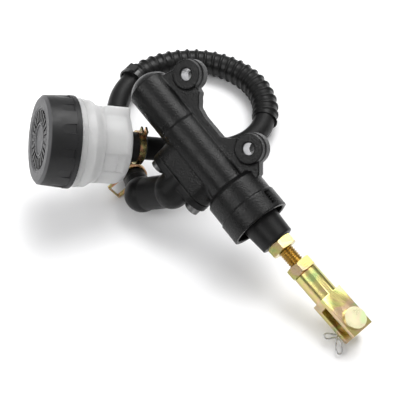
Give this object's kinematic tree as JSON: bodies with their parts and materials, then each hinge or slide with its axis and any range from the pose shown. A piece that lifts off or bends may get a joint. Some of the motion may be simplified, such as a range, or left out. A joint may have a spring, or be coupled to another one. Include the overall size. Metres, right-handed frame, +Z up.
{
  "type": "brake master cylinder",
  "caption": "Rear brake master cylinder with ear mounts, clevis pushrod, rubber boot and a remote screw-cap reservoir on a guarded hose.",
  "frame": {"origin": "centre of the first mounting ear's hole at the ear's front face", "axes": "+Z up from the bench that the unit lies on as pictured; the ears' holes and the barrel lean to it"},
  "size_m": [0.1713, 0.2077, 0.0803],
  "materials": {
    "black_casting": "satin black paint over cast aluminium",
    "spring_wire": "plain spring steel",
    "seal_rubber": "smooth black rubber",
    "piston_alloy": "turned aluminium",
    "zinc_steel": "dark zinc-plated steel",
    "boot_rubber": "satin black moulded rubber",
    "yellow_zinc": "yellow passivated zinc plate with a faint rainbow",
    "cap_plastic": "dark grey moulded plastic",
    "milky_plastic": "milky translucent polyethylene",
    "hose_rubber": "matt black rubber hose",
    "guard_plastic": "black spiral guard",
    "elbow_plastic": "black moulded plastic"
  },
  "bodies": {
    "cylinder": {"cylinder_body": "black_casting", "return_spring": "spring_wire", "stop_washer": "zinc_steel", "circlip": "spring_wire", "reservoir_bottle": "milky_plastic", "outlet_sleeve": "hose_rubber", "outlet_clamp": "yellow_zinc", "hose": "hose_rubber", "hose_guard": "guard_plastic", "guard_tie": "guard_plastic", "inlet_elbow": "elbow_plastic", "elbow_oring": "seal_rubber", "elbow_screws": "zinc_steel", "elbow_clamp": "yellow_zinc"},
    "piston": {"piston": "piston_alloy", "primary_cup": "seal_rubber", "secondary_cup": "seal_rubber", "spring_seat": "spring_wire"},
    "boot": {"boot": "boot_rubber"},
    "rod": {"pushrod": "yellow_zinc", "rod_stop_nut": "yellow_zinc", "clevis_jam_nut": "yellow_zinc", "clevis": "yellow_zinc"},
    "pin": {"clevis_pin": "yellow_zinc", "split_pin": "spring_wire"},
    "cap_lining": {"diaphragm_plate": "cap_plastic", "diaphragm": "seal_rubber"},
    "cap": {"reservoir_cap": "cap_plastic"}
  },
  "joints": [
    {"name": "piston_slide", "type": "slide", "parent": "cylinder", "child": "piston", "axis": [-0.6113, 0.7286, 0.309], "range_m": [0, 0.012], "stiffness_N_per_m": 2500, "springref_m": -0.008, "deforming": ["return_spring", "boot"]},
    {"name": "rod_swing", "type": "hinge", "parent": "piston", "child": "boot", "pos_m": [0.02369, -0.04483, -0.03642], "axis": [0.2076, -0.2289, 0.9511], "range_deg": [-8, 3.6], "stiffness_Nm_per_rad": 1.5, "deforming": ["boot"]},
    {"name": "rod_spin", "type": "hinge", "parent": "boot", "child": "rod", "pos_m": [0.02369, -0.04483, -0.03642], "axis": [0.6388, -0.7045, -0.309], "continuous": true},
    {"name": "pin_spin", "type": "hinge", "parent": "rod", "child": "pin", "pos_m": [0.0785, -0.10528, -0.06294], "axis": [0.2076, -0.2289, 0.9511], "continuous": true},
    {"name": "cap_lift", "type": "slide", "parent": "cylinder", "child": "cap_lining", "axis": [-0.913, -0.2226, 0.342], "range_m": [0, 0.006]},
    {"name": "cap_turn", "type": "hinge", "parent": "cap_lining", "child": "cap", "pos_m": [-0.0741, -0.022, -0.0239], "axis": [-0.913, -0.2226, 0.342], "range_deg": [0, 720]}
  ],
  "couplings": [
    {"joint": "cap_turn", "follows": "cap_lift", "rad_per_m": 2094.4}
  ]
}
